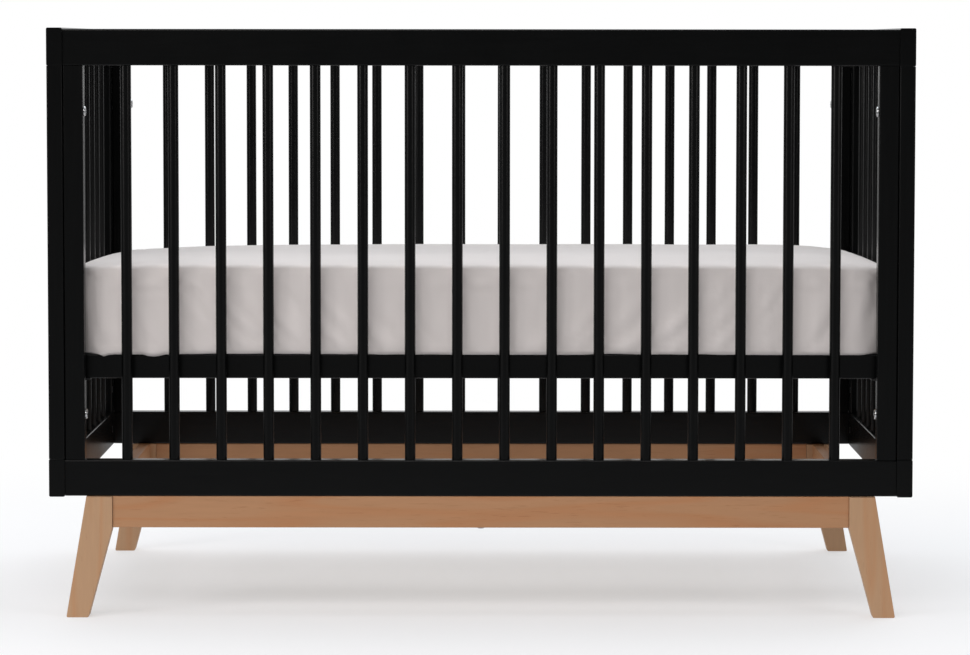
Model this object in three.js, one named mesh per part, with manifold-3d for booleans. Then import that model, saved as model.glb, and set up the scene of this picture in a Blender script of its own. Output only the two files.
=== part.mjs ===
// Baby crib: a black slatted body on a splayed beech base, with a mattress on a support
// that bolts at three heights. Millimetres, +Z up, the front faces -Y, and the origin is on
// the floor under the middle of the crib. "left" is the -X end, seen from the front.
import * as THREE from 'three';
import { mergeVertices } from 'three/addons/utils/BufferGeometryUtils.js';
import Module from 'manifold-3d';

const wasm = await Module();
wasm.setup();

// ---- Driving dimensions ----------------------------------------------------------------
const LENGTH = 1370;              // over the end panels, along X
const DEPTH = 760;                // over the end panels, along Y
const HEIGHT = 936;               // floor to the top of the end panels
const BASE_HEIGHT = 193;          // floor to the underside of the end panels
const BOARD = 25;                 // thickness of every panel

const END_RAIL_HEIGHT = 60;       // top and bottom rails of the end panels
const POST_WIDTH = 60;            // posts of the end panels, along Y
const SIDE_RAIL_HEIGHT = 57.5;     // top and bottom rails of the front and rear panels
const STILE_WIDTH = 32;           // stiles of the front and rear panels, along X
const SIDE_SETBACK = 3;           // side panel's face behind the end panel's edge
const SIDE_TOP_DROP = 2;          // side panel's top under the end panel's top
const SIDE_BOTTOM_RISE = 1;       // side panel's underside above the end panel's
const EDGE_EASE = 3;              // rounding along the edges of the painted wood

const SIDE_SLATS = 16;
const END_SLATS = 8;
const SLAT_DIAMETER = 18;
const SOCKET_DEPTH = 12;          // blind hole in a rail for the end of a slat

const FIT_GAP = 0.3;              // between pieces that touch
const ROUND_SIDES = 10;           // facets of slats, holes and bolts
const EASE_SEGMENTS = 3;          // facets of an eased edge

const BOLT_INSET = 130;           // corner bolts from the body's top and bottom
const BOLT_DIAMETER = 8;
const BOLT_HEAD_DIAMETER = 16;
const BOLT_HEAD_HEIGHT = 3;
const BOLT_GRIP = 18;             // how far a corner bolt reaches into the end post

const LEG_TOP_WIDTH = 41;         // along X, where the leg meets the body
const LEG_FOOT_WIDTH = 35;        // along X, on the floor
const LEG_THICKNESS = 28;         // along Y
const LEG_SPLAY = 33;             // how far the outer edge leans out, top to floor
const LEG_END_INSET = 59;         // leg's outer top corner in from the crib's end
const LEG_FACE_INSET = 0;         // leg's face behind the end panels' edges
const LEG_EASE = 2;
const APRON_HEIGHT = 50;
const APRON_THICKNESS = 20;
const APRON_SETBACK = 3;          // apron's face behind the leg's face
const BASE_BOLT_DIAMETER = 6;
const BASE_BOLT_HEAD_DIAMETER = 11;
const BASE_BOLT_HEAD_HEIGHT = 2;
const BASE_BOLT_GRIP = 20;        // how far a base bolt reaches into the bottom rail

const SUPPORT_DROP = 519;         // crib's top to the support's top at the highest setting
const SUPPORT_RAIL_HEIGHT = 38.5;
const SUPPORT_RAIL_THICKNESS = 18;
const SUPPORT_SIDE_CLEARANCE = 10;
const SUPPORT_END_CLEARANCE = 5;
const HEIGHT_STEP = 71.5;         // between the support's three settings
const HEIGHT_SETTINGS = 3;
const DECK_SLATS = 12;
const DECK_SLAT_WIDTH = 60;
const DECK_SLAT_THICKNESS = 9;
const DECK_RECESS = 1;            // deck's top under the support rails' top
const BATTEN_WIDTH = 28;
const BATTEN_HEIGHT = 18;

const BRACKET_THICKNESS = 3;
const BRACKET_WIDTH = 26;         // along Y
const BRACKET_REACH = 32;         // length of the tab under the support
const BRACKET_DROP = 26;          // how far the plate hangs under the support
const BRACKET_CLEARANCE = 0.6;    // plate to the end post it slides past
const CAPTIVE_HEAD_DIAMETER = 14;
const CAPTIVE_HEAD_HEIGHT = 4;

const MATTRESS_HEIGHT = 142;
const MATTRESS_SIDE_CLEARANCE = 6;
const MATTRESS_END_CLEARANCE = 5;
const MATTRESS_CORNER = 60;       // plan radius of its corners
const MATTRESS_EDGE = 14;         // rounding of its top and bottom edges

// ---- Places worked out from them -------------------------------------------------------
const endPanelX = (LENGTH - BOARD) / 2;
const endInnerX = LENGTH / 2 - BOARD;
const sideFaceY = DEPTH / 2 - SIDE_SETBACK;
const sidePanelY = sideFaceY - BOARD / 2;
const sideInnerY = sideFaceY - BOARD;
const sideTopZ = HEIGHT - SIDE_TOP_DROP;
const sideBottomZ = BASE_HEIGHT + SIDE_BOTTOM_RISE;
const baseTopZ = sideBottomZ - FIT_GAP;
const legFaceY = DEPTH / 2 - LEG_FACE_INSET;
const legInnerTopX = LENGTH / 2 - LEG_END_INSET - LEG_TOP_WIDTH;
const apronFaceY = legFaceY - APRON_SETBACK;
const apronY = apronFaceY - APRON_THICKNESS / 2;
const apronBottomZ = baseTopZ - APRON_HEIGHT;
const supportTopZ = HEIGHT - SUPPORT_DROP;
const supportBottomZ = supportTopZ - SUPPORT_RAIL_HEIGHT;
const supportEndX = endInnerX - SUPPORT_END_CLEARANCE;
const supportFaceY = sideInnerY - SUPPORT_SIDE_CLEARANCE;
const bracketY = supportFaceY - BRACKET_WIDTH / 2;
const bracketBoltZ = supportBottomZ - BRACKET_DROP / 2;

// ---- Finishes --------------------------------------------------------------------------
const finish = {
  blackPaint: { color: 0x161619, roughness: 0.42, metalness: 0 },
  beech: { color: 0xb28562, roughness: 0.55, metalness: 0 },
  plySlat: { color: 0xc7a680, roughness: 0.7, metalness: 0 },
  zincSteel: { color: 0xb4b6b8, roughness: 0.35, metalness: 0.9 },
  sheet: { color: 0xd2cdcb, roughness: 0.9, metalness: 0 },
};

// ---- Shape helpers ---------------------------------------------------------------------
const axisX = new THREE.Vector3(1, 0, 0);
const axisY = new THREE.Vector3(0, 1, 0);
const axisZ = new THREE.Vector3(0, 0, 1);
const axes = [axisX, axisY, axisZ];

// A rectangle about the origin with rounded corners.
function roundedRectangle(width, height, radius) {
  const x = width / 2 - radius;
  const y = height / 2 - radius;
  const quarter = Math.PI / 2;
  const shape = new THREE.Shape();
  shape.absarc(x, -y, radius, -quarter, 0);
  shape.absarc(x, y, radius, 0, quarter);
  shape.absarc(-x, y, radius, quarter, 2 * quarter);
  shape.absarc(-x, -y, radius, 2 * quarter, 3 * quarter);
  shape.closePath();
  return shape;
}

// A bar of sizes [x, y, z] whose long edges, along axis 0, 1 or 2, are eased.
function bar(sizes, along, ease = EDGE_EASE) {
  const across = (along + 1) % 3;
  const up = (along + 2) % 3;
  const outline = roundedRectangle(sizes[across], sizes[up], ease);
  const options = { depth: sizes[along], bevelEnabled: false, curveSegments: EASE_SEGMENTS };
  const geometry = new THREE.ExtrudeGeometry(outline, options);
  geometry.translate(0, 0, -sizes[along] / 2);
  geometry.applyMatrix4(new THREE.Matrix4().makeBasis(axes[across], axes[up], axes[along]));
  return geometry;
}

// A round rod about the origin, along axis 0, 1 or 2.
function rod(diameter, length, along) {
  const geometry = new THREE.CylinderGeometry(diameter / 2, diameter / 2, length, ROUND_SIDES);
  const turn = new THREE.Quaternion().setFromUnitVectors(axisY, axes[along]);
  geometry.applyQuaternion(turn);
  return geometry;
}

// A bolt along +Y whose head is under the XZ plane and whose shank is above it.
function bolt(headDiameter, headHeight, shankDiameter, shankLength) {
  const profile = [
    [0, -headHeight],
    [headDiameter * 0.36, -headHeight],
    [headDiameter / 2, -headHeight * 0.4],
    [headDiameter / 2, 0],
    [shankDiameter / 2, 0],
    [shankDiameter / 2, shankLength],
    [0, shankLength],
  ];
  const points = profile.map(([radius, y]) => new THREE.Vector2(radius, y));
  return new THREE.LatheGeometry(points, ROUND_SIDES);
}

function solid(geometry) {
  const bare = geometry.clone();
  bare.deleteAttribute('normal');
  bare.deleteAttribute('uv');
  const merged = mergeVertices(bare, 1e-4);
  const vertProperties = new Float32Array(merged.attributes.position.array);
  const triVerts = new Uint32Array(merged.index.array);
  return new wasm.Manifold(new wasm.Mesh({ numProp: 3, vertProperties, triVerts }));
}

function geometryOf(manifold) {
  const mesh = manifold.getMesh();
  const geometry = new THREE.BufferGeometry();
  geometry.setAttribute('position', new THREE.BufferAttribute(mesh.vertProperties, 3));
  geometry.setIndex(new THREE.BufferAttribute(mesh.triVerts, 1));
  const facets = geometry.toNonIndexed();
  facets.computeVertexNormals();
  return facets;
}

function cut(geometry, cutters) {
  return geometryOf(cutters.reduce((body, cutter) => body.subtract(solid(cutter)), solid(geometry)));
}

function join(geometries) {
  const [first, ...rest] = geometries.map(solid);
  return geometryOf(rest.reduce((body, other) => body.add(other), first));
}

// The centres of count equal slats that leave equal gaps over a clear span about zero.
function evenCentres(count, width, span) {
  const gap = (span - count * width) / (count + 1);
  return Array.from({ length: count }, (_, i) => (i - (count - 1) / 2) * (width + gap));
}

const crib = new THREE.Group();

function add(group, name, geometry, look, position = [0, 0, 0]) {
  const mesh = new THREE.Mesh(geometry, new THREE.MeshStandardMaterial(look));
  mesh.name = name;
  mesh.position.set(...position);
  group.add(mesh);
  return mesh;
}

// ---- Rails, slats and the sockets between them -----------------------------------------
// Slats stand along Z between two rails, at offsets along axis 0 or 1 of the panel.
function offsetAlong(along, offset, z) {
  return along === 0 ? [offset, 0, z] : [0, offset, z];
}

function railWithSockets(sizes, along, centres, faceZ) {
  const direction = Math.sign(faceZ);
  const diameter = SLAT_DIAMETER + 2 * FIT_GAP;
  const cutters = centres.map((offset) => {
    const cutter = rod(diameter, 2 * (SOCKET_DEPTH + FIT_GAP), 2);
    return cutter.translate(...offsetAlong(along, offset, direction * sizes[2] / 2));
  });
  return cut(bar(sizes, along), cutters);
}

// A bottom rail with its slats glued in, as one comb; its origin is the rail's centre.
function comb(sizes, along, centres, slatTop) {
  const root = sizes[2] / 2 - SOCKET_DEPTH;
  const slats = centres.map((offset) => {
    const slat = rod(SLAT_DIAMETER, slatTop - root, 2);
    return slat.translate(...offsetAlong(along, offset, (slatTop + root) / 2));
  });
  return join([bar(sizes, along), ...slats]);
}

// ---- Front and rear panels -------------------------------------------------------------
const sideRailLength = 2 * (endInnerX - FIT_GAP);
const sideOpening = 2 * (endInnerX - STILE_WIDTH);
const sideCentres = evenCentres(SIDE_SLATS, SLAT_DIAMETER, sideOpening);
const sideRailSizes = [sideRailLength, BOARD, SIDE_RAIL_HEIGHT];
const topRailZ = sideTopZ - SIDE_RAIL_HEIGHT / 2;
const bottomRailZ = sideBottomZ + SIDE_RAIL_HEIGHT / 2;
const stileBottomZ = sideBottomZ + SIDE_RAIL_HEIGHT + FIT_GAP;
const stileTopZ = sideTopZ - SIDE_RAIL_HEIGHT - FIT_GAP;
const boltHeights = [sideBottomZ + BOLT_INSET, sideTopZ - BOLT_INSET];

function baseBoltHole(side) {
  const hole = rod(BASE_BOLT_DIAMETER + 2 * FIT_GAP, 2 * (BASE_BOLT_GRIP + FIT_GAP), 2);
  return hole.translate(0, side * (apronY - sidePanelY), -SIDE_RAIL_HEIGHT / 2);
}

function stile() {
  const height = stileTopZ - stileBottomZ;
  const middle = (stileTopZ + stileBottomZ) / 2;
  const holes = boltHeights.map((z) => {
    const hole = rod(BOLT_DIAMETER + 2 * FIT_GAP, 2 * STILE_WIDTH, 0);
    return hole.translate(0, 0, z - middle);
  });
  return cut(bar([STILE_WIDTH - FIT_GAP, BOARD, height], 2), holes);
}

function sidePanel(name, side, slatsApart) {
  const panel = new THREE.Group();
  panel.position.y = side * sidePanelY;
  crib.add(panel);
  const look = finish.blackPaint;
  const topRail = railWithSockets(sideRailSizes, 0, sideCentres, -1);
  add(panel, `${name}_top_rail`, topRail, look, [0, 0, topRailZ]);
  const slatTopZ = topRailZ - SIDE_RAIL_HEIGHT / 2 + SOCKET_DEPTH;
  if (slatsApart) {
    const socketed = railWithSockets(sideRailSizes, 0, sideCentres, 1);
    const bottomRail = cut(socketed, [baseBoltHole(side)]);
    add(panel, `${name}_bottom_rail`, bottomRail, look, [0, 0, bottomRailZ]);
    const slatBottomZ = bottomRailZ + SIDE_RAIL_HEIGHT / 2 - SOCKET_DEPTH;
    sideCentres.forEach((x, i) => {
      const slat = rod(SLAT_DIAMETER, slatTopZ - slatBottomZ, 2);
      const number = String(i + 1).padStart(2, '0');
      add(panel, `${name}_slat_${number}`, slat, look, [x, 0, (slatTopZ + slatBottomZ) / 2]);
    });
  } else {
    const slats = comb(sideRailSizes, 0, sideCentres, slatTopZ - bottomRailZ);
    const bottomRail = cut(slats, [baseBoltHole(side)]);
    add(panel, `${name}_bottom_rail_with_slats`, bottomRail, look, [0, 0, bottomRailZ]);
  }
  for (const [endName, end] of [['left', -1], ['right', 1]]) {
    const x = end * (endInnerX - (STILE_WIDTH + FIT_GAP) / 2);
    add(panel, `${name}_stile_${endName}`, stile(), look, [x, 0, (stileTopZ + stileBottomZ) / 2]);
    boltHeights.forEach((z, i) => {
      const shank = STILE_WIDTH + BOLT_GRIP;
      const geometry = bolt(BOLT_HEAD_DIAMETER, BOLT_HEAD_HEIGHT, BOLT_DIAMETER, shank);
      geometry.rotateZ(-end * Math.PI / 2);
      const seatX = end * (endInnerX - STILE_WIDTH - FIT_GAP);
      const level = i === 0 ? 'lower' : 'upper';
      add(panel, `corner_bolt_${name}_${endName}_${level}`, geometry, finish.zincSteel, [seatX, 0, z]);
    });
  }
}

sidePanel('front', -1, true);
sidePanel('rear', 1, false);

// ---- End panels ------------------------------------------------------------------------
const endRailSizes = [BOARD, DEPTH, END_RAIL_HEIGHT];
const endCentres = evenCentres(END_SLATS, SLAT_DIAMETER, DEPTH - 2 * POST_WIDTH);
const endTopRailZ = HEIGHT - END_RAIL_HEIGHT / 2;
const endBottomRailZ = BASE_HEIGHT + END_RAIL_HEIGHT / 2;
const postBottomZ = BASE_HEIGHT + END_RAIL_HEIGHT + FIT_GAP;
const postTopZ = HEIGHT - END_RAIL_HEIGHT - FIT_GAP;
const postZ = (postTopZ + postBottomZ) / 2;
const postY = (DEPTH - POST_WIDTH) / 2;
const settingHeights = Array.from({ length: HEIGHT_SETTINGS }, (_, i) => bracketBoltZ - i * HEIGHT_STEP);

// Blind holes along X into the inner face of an end panel whose inner side is -end.
function innerFaceHole(end, diameter, depth) {
  const hole = rod(diameter + 2 * FIT_GAP, 2 * (depth + FIT_GAP), 0);
  return hole.translate(-end * BOARD / 2, 0, 0);
}

function post(end, side) {
  const cornerHoles = boltHeights.map((z) => {
    const hole = innerFaceHole(end, BOLT_DIAMETER, BOLT_GRIP);
    return hole.translate(0, side * (sidePanelY - postY), z - postZ);
  });
  const settingHoles = settingHeights.map((z) => {
    const hole = innerFaceHole(end, BOLT_DIAMETER, BOLT_GRIP);
    return hole.translate(0, side * (bracketY - postY), z - postZ);
  });
  const blank = bar([BOARD, POST_WIDTH, postTopZ - postBottomZ], 2);
  return cut(blank, [...cornerHoles, ...settingHoles]);
}

function endComb(end) {
  const slatTopZ = HEIGHT - END_RAIL_HEIGHT + SOCKET_DEPTH;
  const holes = settingHeights.flatMap((z) => [-1, 1].map((side) => {
    const hole = innerFaceHole(end, BOLT_DIAMETER, BOLT_GRIP);
    return hole.translate(0, side * bracketY, z - endBottomRailZ);
  }));
  return cut(comb(endRailSizes, 1, endCentres, slatTopZ - endBottomRailZ), holes);
}

for (const [name, end] of [['left', -1], ['right', 1]]) {
  const panel = new THREE.Group();
  panel.position.x = end * endPanelX;
  crib.add(panel);
  const look = finish.blackPaint;
  const topRail = railWithSockets(endRailSizes, 1, endCentres, -1);
  add(panel, `${name}_end_top_rail`, topRail, look, [0, 0, endTopRailZ]);
  add(panel, `${name}_end_bottom_rail_with_slats`, endComb(end), look, [0, 0, endBottomRailZ]);
  for (const [sideName, side] of [['front', -1], ['rear', 1]]) {
    const place = [0, side * postY, postZ];
    add(panel, `${name}_end_post_${sideName}`, post(end, side), look, place);
  }
}

// ---- Beech base ------------------------------------------------------------------------
// The leg is vertical on its inner edge down to the apron's underside, then splays out.
function leg(end) {
  const outerTop = legInnerTopX + LEG_TOP_WIDTH;
  const outerFoot = outerTop + LEG_SPLAY;
  const outline = [
    [legInnerTopX, baseTopZ],
    [legInnerTopX, apronBottomZ],
    [outerFoot - LEG_FOOT_WIDTH, 0],
    [outerFoot, 0],
    [outerTop, baseTopZ],
  ];
  const shape = new THREE.Shape(outline.map(([x, z]) => new THREE.Vector2(end * x, z)));
  const options = {
    depth: LEG_THICKNESS - 2 * LEG_EASE,
    bevelThickness: LEG_EASE,
    bevelSize: LEG_EASE,
    bevelOffset: -LEG_EASE,
    bevelSegments: 2,
  };
  const geometry = new THREE.ExtrudeGeometry(shape, options);
  geometry.translate(0, 0, -options.depth / 2);
  return geometry.rotateX(Math.PI / 2);
}

const apronZ = baseTopZ - APRON_HEIGHT / 2;
const endApronX = legInnerTopX + LEG_TOP_WIDTH / 2;

for (const [sideName, side] of [['front', -1], ['rear', 1]]) {
  for (const [endName, end] of [['left', -1], ['right', 1]]) {
    const place = [0, side * (legFaceY - LEG_THICKNESS / 2), 0];
    add(crib, `leg_${sideName}_${endName}`, leg(end), finish.beech, place);
  }
  const apronSizes = [2 * (legInnerTopX - FIT_GAP), APRON_THICKNESS, APRON_HEIGHT];
  const boltHole = rod(BASE_BOLT_DIAMETER + 2 * FIT_GAP, 2 * APRON_HEIGHT, 2);
  const apron = cut(bar(apronSizes, 0, LEG_EASE), [boltHole]);
  add(crib, `apron_${sideName}`, apron, finish.beech, [0, side * apronY, apronZ]);

  const shank = APRON_HEIGHT + FIT_GAP + BASE_BOLT_GRIP;
  const baseBolt = bolt(BASE_BOLT_HEAD_DIAMETER, BASE_BOLT_HEAD_HEIGHT, BASE_BOLT_DIAMETER, shank);
  baseBolt.rotateX(Math.PI / 2);
  const boltPlace = [0, side * apronY, apronBottomZ - FIT_GAP];
  add(crib, `base_bolt_${sideName}`, baseBolt, finish.zincSteel, boltPlace);
}

for (const [endName, end] of [['left', -1], ['right', 1]]) {
  const length = 2 * (legFaceY - LEG_THICKNESS - FIT_GAP);
  const apron = bar([APRON_THICKNESS, length, APRON_HEIGHT], 1, LEG_EASE);
  add(crib, `apron_${endName}`, apron, finish.beech, [end * endApronX, 0, apronZ]);
}

// ---- Mattress support ------------------------------------------------------------------
const supportZ = supportTopZ - SUPPORT_RAIL_HEIGHT / 2;
const supportInnerX = supportEndX - SUPPORT_RAIL_THICKNESS - FIT_GAP;
const supportInnerY = supportFaceY - SUPPORT_RAIL_THICKNESS - FIT_GAP;

for (const [sideName, side] of [['front', -1], ['rear', 1]]) {
  const rail = bar([2 * supportEndX, SUPPORT_RAIL_THICKNESS, SUPPORT_RAIL_HEIGHT], 0, LEG_EASE);
  const place = [0, side * (supportFaceY - SUPPORT_RAIL_THICKNESS / 2), supportZ];
  add(crib, `support_rail_${sideName}`, rail, finish.blackPaint, place);
}

for (const [endName, end] of [['left', -1], ['right', 1]]) {
  const rail = bar([SUPPORT_RAIL_THICKNESS, 2 * supportInnerY, SUPPORT_RAIL_HEIGHT], 1, LEG_EASE);
  const place = [end * (supportEndX - SUPPORT_RAIL_THICKNESS / 2), 0, supportZ];
  add(crib, `support_rail_${endName}`, rail, finish.blackPaint, place);
}

// Cross slats stapled to three battens, one in the middle and one along each long rail.
function deck() {
  const slatTop = -DECK_RECESS;
  const slats = evenCentres(DECK_SLATS, DECK_SLAT_WIDTH, 2 * supportInnerX).map((x) => {
    const slat = new THREE.BoxGeometry(DECK_SLAT_WIDTH, 2 * supportInnerY, DECK_SLAT_THICKNESS);
    return slat.translate(x, 0, slatTop - DECK_SLAT_THICKNESS / 2);
  });
  const sink = 1;
  const battenTop = slatTop - DECK_SLAT_THICKNESS + sink;
  const battens = [-1, 0, 1].map((place) => {
    const batten = new THREE.BoxGeometry(2 * supportInnerX, BATTEN_WIDTH, BATTEN_HEIGHT + sink);
    const y = place * (supportInnerY - BATTEN_WIDTH / 2);
    return batten.translate(0, y, battenTop - (BATTEN_HEIGHT + sink) / 2);
  });
  return join([...battens, ...slats]);
}

add(crib, 'support_slat_deck', deck(), finish.plySlat, [0, 0, supportTopZ]);

// An angle bracket: its tab lies under the support, its plate hangs beside the end post and
// carries the head of the captive bolt that fixes the height.
function bracket(end) {
  const plateOuter = endInnerX - BRACKET_CLEARANCE;
  const plateInner = plateOuter - BRACKET_THICKNESS;
  const tabTop = supportBottomZ - FIT_GAP;
  const tabInner = supportEndX - BRACKET_REACH;
  const tab = new THREE.BoxGeometry(plateOuter - tabInner, BRACKET_WIDTH, BRACKET_THICKNESS);
  tab.translate(end * (plateOuter + tabInner) / 2, 0, tabTop - BRACKET_THICKNESS / 2);
  const plateHeight = BRACKET_DROP;
  const plate = new THREE.BoxGeometry(BRACKET_THICKNESS, BRACKET_WIDTH, plateHeight);
  plate.translate(end * (plateOuter + plateInner) / 2, 0, tabTop - plateHeight / 2);
  const sink = 1;
  const head = rod(CAPTIVE_HEAD_DIAMETER, CAPTIVE_HEAD_HEIGHT + sink, 0);
  const headX = plateInner + sink / 2 - CAPTIVE_HEAD_HEIGHT / 2;
  head.translate(end * headX, 0, bracketBoltZ);
  return join([tab, plate, head]);
}

for (const [sideName, side] of [['front', -1], ['rear', 1]]) {
  for (const [endName, end] of [['left', -1], ['right', 1]]) {
    const name = `support_bracket_${sideName}_${endName}`;
    add(crib, name, bracket(end), finish.zincSteel, [0, side * bracketY, 0]);
  }
}

// ---- Mattress --------------------------------------------------------------------------
function mattress() {
  const length = 2 * (endInnerX - MATTRESS_END_CLEARANCE);
  const depth = 2 * (sideInnerY - MATTRESS_SIDE_CLEARANCE);
  const options = {
    depth: MATTRESS_HEIGHT - 2 * MATTRESS_EDGE,
    bevelThickness: MATTRESS_EDGE,
    bevelSize: MATTRESS_EDGE,
    bevelOffset: -MATTRESS_EDGE,
    bevelSegments: 2,
    curveSegments: 4,
  };
  const geometry = new THREE.ExtrudeGeometry(roundedRectangle(length, depth, MATTRESS_CORNER), options);
  return geometry.translate(0, 0, MATTRESS_EDGE);
}

add(crib, 'mattress', mattress(), finish.sheet, [0, 0, supportTopZ + FIT_GAP]);

export default crib;
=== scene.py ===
# %% [markdown]
# # A slatted crib, black on beech
# The crib is a black painted body of rails, stiles, posts and turned slats, bolted together
# at its corners, on a base of splayed beech legs. A mattress with a fitted sheet lies on a
# slatted support that bolts at one of three heights. The measured frame gives every place
# and size, and each cell below dresses one kind of piece.

# %% The measured frame
import math

import bpy
import numpy as np
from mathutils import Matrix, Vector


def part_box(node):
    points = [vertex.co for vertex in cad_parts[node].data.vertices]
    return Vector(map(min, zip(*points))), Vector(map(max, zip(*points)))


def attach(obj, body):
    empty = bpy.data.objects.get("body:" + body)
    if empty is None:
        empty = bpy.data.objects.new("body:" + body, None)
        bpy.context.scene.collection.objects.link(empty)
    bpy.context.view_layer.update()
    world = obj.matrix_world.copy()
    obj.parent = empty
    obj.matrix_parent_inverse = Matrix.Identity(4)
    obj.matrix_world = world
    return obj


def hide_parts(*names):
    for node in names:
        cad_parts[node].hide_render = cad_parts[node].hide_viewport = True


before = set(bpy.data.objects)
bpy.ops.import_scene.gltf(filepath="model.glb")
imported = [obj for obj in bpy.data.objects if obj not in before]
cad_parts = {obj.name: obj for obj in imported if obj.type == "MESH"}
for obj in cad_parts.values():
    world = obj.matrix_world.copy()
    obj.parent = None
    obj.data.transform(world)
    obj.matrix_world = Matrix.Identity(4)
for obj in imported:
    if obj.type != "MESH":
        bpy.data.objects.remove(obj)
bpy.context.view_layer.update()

MM = 0.001

# %% [markdown]
# ## The camera
# The crib is seen square on from about six metres, from just under the height of its top
# rail. A long lens keeps the rails almost parallel. The camera tips down a little, and a
# small lens shift lifts the crib in the frame, so that the uprights stay nearly upright.

# %% Camera
CAMERA_PLACE = (0.0061, -5.857, 0.9085)
CAMERA_TIP = math.radians(3.6)
CAMERA_ROLL = math.radians(-0.05)
CAMERA_LENS = 128.9
CAMERA_SHIFT = -0.0656

camera = bpy.data.objects.new("camera", bpy.data.cameras.new("camera"))
bpy.context.scene.collection.objects.link(camera)
camera.location = CAMERA_PLACE
camera.rotation_euler = (math.pi / 2 - CAMERA_TIP, CAMERA_ROLL, 0)
camera.data.lens = CAMERA_LENS
camera.data.sensor_width = 36
camera.data.shift_y = CAMERA_SHIFT
camera.data.clip_end = 200
bpy.context.scene.camera = camera
print("camera", CAMERA_LENS, "mm at", CAMERA_PLACE)

# %% [markdown]
# ## From arrays to pieces
# Every new piece is a set of numpy points and a list of faces. One helper puts them in a
# mesh, smooths the shading and lets a Weighted Normal modifier keep the wide faces flat
# beside their small rounded edges. The piece then rides on its body and stands for its node.

# %% Making a piece
def new_object(name, points, faces):
    """A mesh object at the origin, from points (n, 3) in metres and lists of corners."""
    mesh = bpy.data.meshes.new(name)
    mesh.from_pydata(np.asarray(points).tolist(), [], faces)
    mesh.validate()
    mesh.polygons.foreach_set("use_smooth", np.ones(len(mesh.polygons), bool))
    thing = bpy.data.objects.new(name, mesh)
    bpy.context.scene.collection.objects.link(thing)
    return thing


def piece(name, shape, finish, body, stands_for=()):
    """A finished rigid piece: shape is (points, faces), and finish is its material."""
    thing = new_object(name, *shape)
    thing.data.materials.append(finish)
    weighted = thing.modifiers.new("flat_faces", "WEIGHTED_NORMAL")
    weighted.mode = "FACE_AREA"
    weighted.weight = 50
    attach(thing, body)
    if stands_for:
        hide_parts(*stands_for)
    return thing


# %% [markdown]
# ## Rounded bars
# Rails, stiles and posts are planed bars with eased edges. A bar could be a cube with a
# Bevel modifier, but one formula does it and gives each edge its own radius: take points on
# a plain box, find the nearest point of a smaller box inside it, and pull each point to a
# fixed distance from that one. Flats stay flat, edges become arcs and corners become balls.

# %% Rounded bar
EDGE_STEPS = 4


def grid_lines(low, high, radius):
    """Positions along one side: spaced as tan t through each rounding, none between them."""
    turn = np.tan(np.linspace(0, math.pi / 4, EDGE_STEPS + 1))
    start = low + radius * (1 - turn[::-1])
    end = high - radius * (1 - turn)
    return np.concatenate([start, end])


def box_surface(lines):
    """Points and quads on a box whose grid lines along X, Y and Z are given.

    Each face is the grid of its two directions, wound so that its normal points outwards.
    Points that two faces share are merged.
    """
    points, quads, count = [], [], 0
    for axis in range(3):
        first, second = (axis + 1) % 3, (axis + 2) % 3
        a, b = np.meshgrid(lines[first], lines[second], indexing="ij")
        index = np.arange(a.size).reshape(a.shape)
        ring = np.stack([index[:-1, :-1], index[1:, :-1], index[1:, 1:], index[:-1, 1:]], -1)
        for value, order in ((lines[axis][-1], 1), (lines[axis][0], -1)):
            face = np.empty((a.size, 3))
            face[:, axis] = value
            face[:, first] = a.ravel()
            face[:, second] = b.ravel()
            points.append(face)
            quads.append(ring.reshape(-1, 4)[:, ::order] + count)
            count += a.size
    points, quads = np.concatenate(points), np.concatenate(quads)
    _, keep, place = np.unique(np.round(points, 7), axis=0, return_index=True, return_inverse=True)
    return points[keep], place.ravel()[quads]


def rounded_bar(low, high, radii):
    """A bar between two corners: p becomes c + r (p - c) / |p - c|, c on the inner box."""
    low, high, radii = (np.asarray(v, float) for v in (low, high, radii))
    points, quads = box_surface([grid_lines(*side) for side in zip(low, high, radii)])
    inner = np.clip(points, low + radii, high - radii)
    away = (points - inner) / radii
    away /= np.linalg.norm(away, axis=1, keepdims=True)
    return inner + radii * away, quads.tolist()


def bar_radii(along, edge, end):
    """The edge radius across the bar and the smaller end radius along axis 0, 1 or 2."""
    radii = np.full(3, edge)
    radii[along] = end
    return radii


# %% [markdown]
# ## Turned pieces
# Slats and bolts are bodies of revolution. A profile of radii and heights is swept round an
# axis. A row can also be part hexagon, which is how the bolt heads get their key sockets.

# %% Turned shape
def turned(profile, sides, centre, axis=2, direction=1):
    """Sweeps rows (radius, height, hexness) round an axis through centre.

    At angle t a row's radius is r for a circle and r cos 30 / cos(t mod 60 - 30) for a
    hexagon, mixed by hexness. The first and last rows lie on the axis, and close the shape.
    """
    rows = np.array(profile, float)
    angle = np.linspace(0, 2 * math.pi, sides, endpoint=False)
    sixth = math.pi / 3
    hexagon = math.cos(sixth / 2) / np.cos(np.mod(angle, sixth) - sixth / 2)
    radius = rows[1:-1, :1] * (1 + rows[1:-1, 2:] * (hexagon - 1))
    ring = np.stack([radius * np.cos(angle), radius * np.sin(angle) * direction], -1)
    height = np.repeat(rows[1:-1, 1:2], sides, axis=1)[..., None] * direction
    local = np.concatenate([ring, height], -1).reshape(-1, 3)
    poles = np.array([[0, 0, rows[0, 1] * direction], [0, 0, rows[-1, 1] * direction]])
    local = np.concatenate([local, poles])
    points = np.roll(local, axis + 1, axis=1) + np.asarray(centre)
    count = len(rows) - 2
    index = np.arange(count * sides).reshape(count, sides)
    after = np.roll(index, -1, axis=1)
    quads = np.stack([index[:-1], after[:-1], after[1:], index[1:]], -1).reshape(-1, 4)
    foot, tip = count * sides, count * sides + 1
    start = np.stack([np.full(sides, foot), after[0], index[0]], -1)
    finish = np.stack([np.full(sides, tip), index[-1], after[-1]], -1)
    return points, quads.tolist() + start.tolist() + finish.tolist()


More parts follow.
